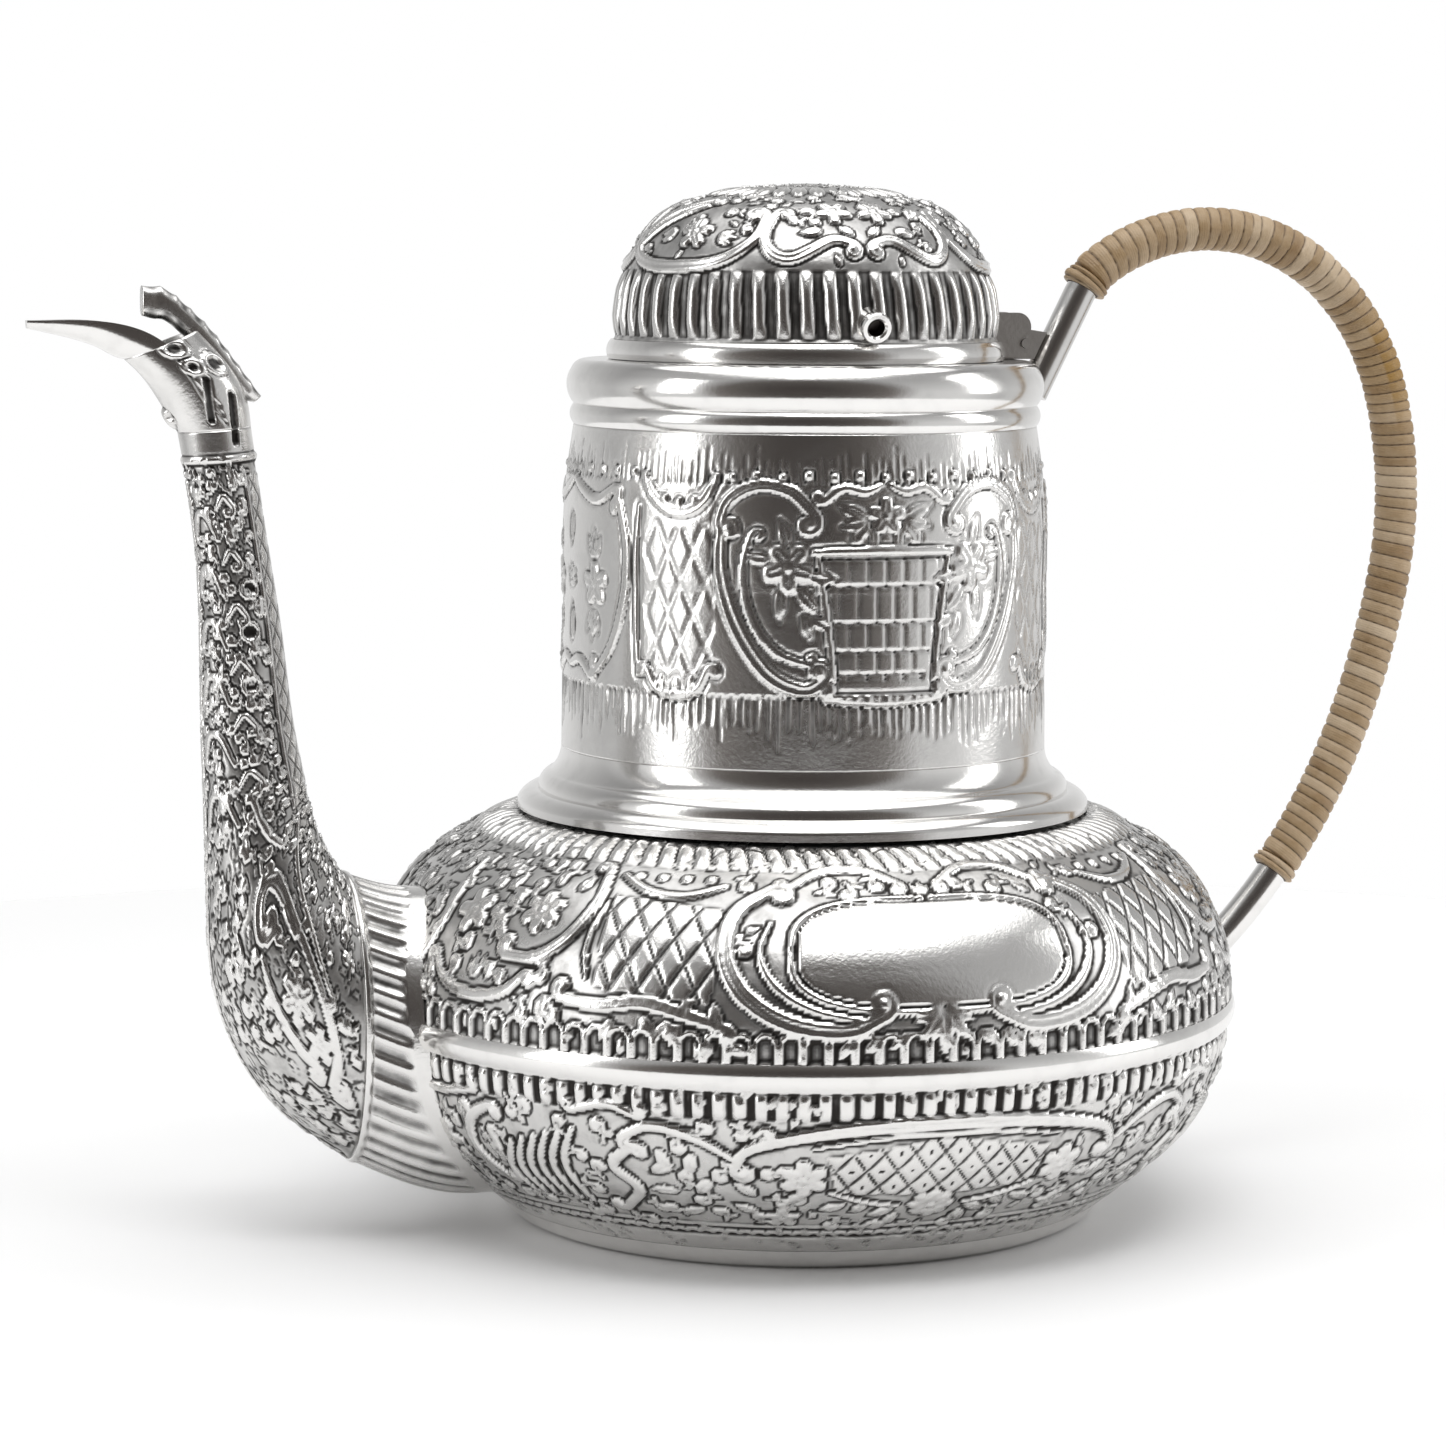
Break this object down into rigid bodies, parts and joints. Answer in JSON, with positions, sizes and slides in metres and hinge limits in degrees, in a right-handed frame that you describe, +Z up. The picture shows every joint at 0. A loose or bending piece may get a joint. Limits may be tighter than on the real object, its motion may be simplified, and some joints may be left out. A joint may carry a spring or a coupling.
{
  "type": "coffee pot",
  "caption": "Squat onion-bodied coffee pot with a tall neck, hinged domed lid with a steam vent, swan-neck spout with a beaked head, and a cane-wrapped loop handle.",
  "frame": {"origin": "on the pot's axis at the underside of its foot", "axes": "+Z up along the pot's axis, -X towards the spout, +X towards the handle, -Y the side with the lid's steam vent"},
  "size_m": [0.2685, 0.1618, 0.1902],
  "materials": {
    "chased_silver": "silver sheet chased and embossed all over, raised work polished and the ground darkened",
    "polished_silver": "plain polished silver",
    "dark_silver": "tarnished silver, worn bright on its edges",
    "cane": "split cane, glossy skin outside, tan to ochre"
  },
  "bodies": {
    "pot": {"base_pan": "polished_silver", "lower_bowl": "chased_silver", "shoulder_shell": "chased_silver", "equator_band": "polished_silver", "neck_step_moulding": "polished_silver", "neck_drum": "chased_silver", "mouth_collar": "polished_silver", "hinge_block": "dark_silver", "hinge_pin": "dark_silver", "spout_socket": "chased_silver", "spout_left_shell": "chased_silver", "spout_right_shell": "chased_silver", "spout_head": "chased_silver", "pouring_lip": "polished_silver", "spout_crest": "chased_silver", "handle_rod": "polished_silver", "rattan_wrap": "cane", "wrap_end_bindings": "cane"},
    "lid": {"lid_rim": "polished_silver", "lid_dome": "chased_silver", "lid_bezel": "polished_silver", "steam_vent": "polished_silver", "lid_hinge_lugs": "dark_silver"}
  },
  "joints": [
    {"name": "lid_hinge", "type": "hinge", "parent": "pot", "child": "lid", "pos_m": [0.0418, 0, 0.161], "axis": [0, 1, 0], "range_deg": [0, 60]}
  ]
}
